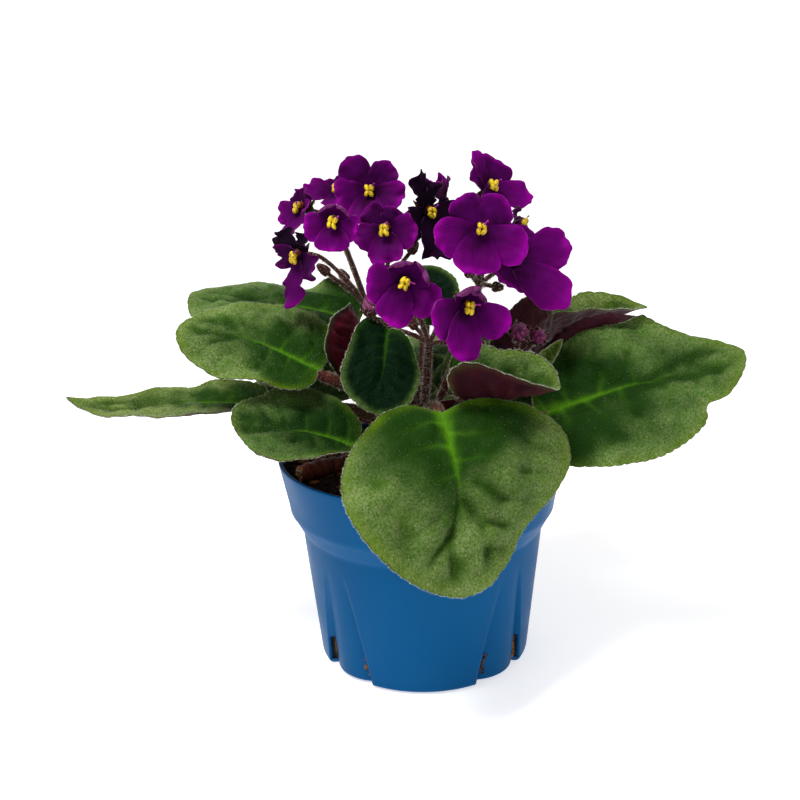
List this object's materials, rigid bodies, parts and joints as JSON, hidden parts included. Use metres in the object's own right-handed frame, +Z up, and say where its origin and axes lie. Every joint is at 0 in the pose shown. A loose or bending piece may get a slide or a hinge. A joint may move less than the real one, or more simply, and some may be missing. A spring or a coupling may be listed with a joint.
{
  "type": "potted african violet",
  "caption": "Rosette houseplant with hairy heart-shaped leaves and upright stalks of five-petalled purple blooms, in a tapered plastic nursery pot filled with soil.",
  "frame": {"origin": "centre of the pot's underside, where it rests", "axes": "+X to the viewer's right and along the longest leaf spread, -Y toward the viewer, +Z up out of the pot"},
  "size_m": [0.2714, 0.2012, 0.2146],
  "materials": {
    "pot_plastic": "injection-moulded polypropylene, satin blue",
    "potting_soil": "dark crumbly peat mix, fully matt",
    "leaf_stem": "hairy red-brown plant stem, matt",
    "dead_stem": "dried brown stem stub, matt",
    "leaf_blade": "velvety green leaf with silky hairs, maroon underneath",
    "flower_stem": "hairy dark red flower stem, matt",
    "bud_petal": "closed purple bud, soft matt",
    "petal": "violet-purple petal with fine crystalline sheen",
    "anther": "smooth bright yellow pollen sacs"
  },
  "bodies": {
    "root": {"pot": "pot_plastic", "soil": "potting_soil", "crown_and_petioles": "leaf_stem", "old_stem_stub": "dead_stem", "leaf_front": "leaf_blade", "leaf_right": "leaf_blade", "leaf_right_high": "leaf_blade", "leaf_right_cupped": "leaf_blade", "leaf_centre_hanging": "leaf_blade", "leaf_left_upright": "leaf_blade", "leaf_left": "leaf_blade", "leaf_left_back": "leaf_blade", "leaf_far_left": "leaf_blade", "leaf_front_left": "leaf_blade", "leaf_back_left": "leaf_blade", "leaf_back_upright": "leaf_blade", "leaf_right_upright": "leaf_blade", "leaf_right_inner": "leaf_blade", "leaf_right_young": "leaf_blade", "leaf_back": "leaf_blade", "leaf_back_right_low": "leaf_blade", "leaf_back_left_low": "leaf_blade", "flower_stalk_left": "flower_stem", "flower_stalk_back": "flower_stem", "flower_stalk_front": "flower_stem", "flower_stalk_right": "flower_stem", "bud_stalk_right": "flower_stem", "bud_left": "bud_petal", "bud_right": "bud_petal", "bud_far_right": "bud_petal", "bloom_1": "petal", "bloom_2": "petal", "bloom_3": "petal", "bloom_4": "petal", "bloom_5": "petal", "bloom_6": "petal", "bloom_7": "petal", "bloom_8": "petal", "bloom_9": "petal", "bloom_10": "petal", "bloom_11": "petal", "bloom_12": "petal", "bloom_13": "petal", "bloom_14": "petal", "anthers_1": "anther", "anthers_2": "anther", "anthers_3": "anther", "anthers_4": "anther", "anthers_5": "anther", "anthers_6": "anther", "anthers_7": "anther", "anthers_8": "anther", "anthers_9": "anther", "anthers_10": "anther", "anthers_12": "anther", "anthers_14": "anther"}
  },
  "joints": []
}
